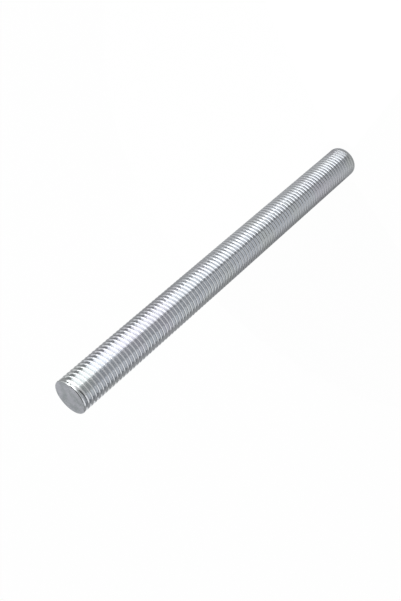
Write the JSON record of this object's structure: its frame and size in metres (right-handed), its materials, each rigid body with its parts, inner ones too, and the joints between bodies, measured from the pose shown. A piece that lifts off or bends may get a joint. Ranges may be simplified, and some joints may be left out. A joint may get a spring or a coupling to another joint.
{
  "type": "threaded rod",
  "caption": "Straight zinc-plated steel rod with a right-hand metric coarse thread along its whole length and square-cut, lightly chamfered ends.",
  "frame": {"origin": "centre of the lower end face", "axes": "+Z along the rod, from the lower end to the upper end; the thread groove runs out on the +X side at the lower end"},
  "size_m": [0.0156, 0.0156, 0.196],
  "materials": {
    "zinc_plate": "bright zinc plating on rolled steel thread, with sawn end faces"
  },
  "bodies": {
    "root": {"threaded_rod": "zinc_plate"}
  },
  "joints": []
}
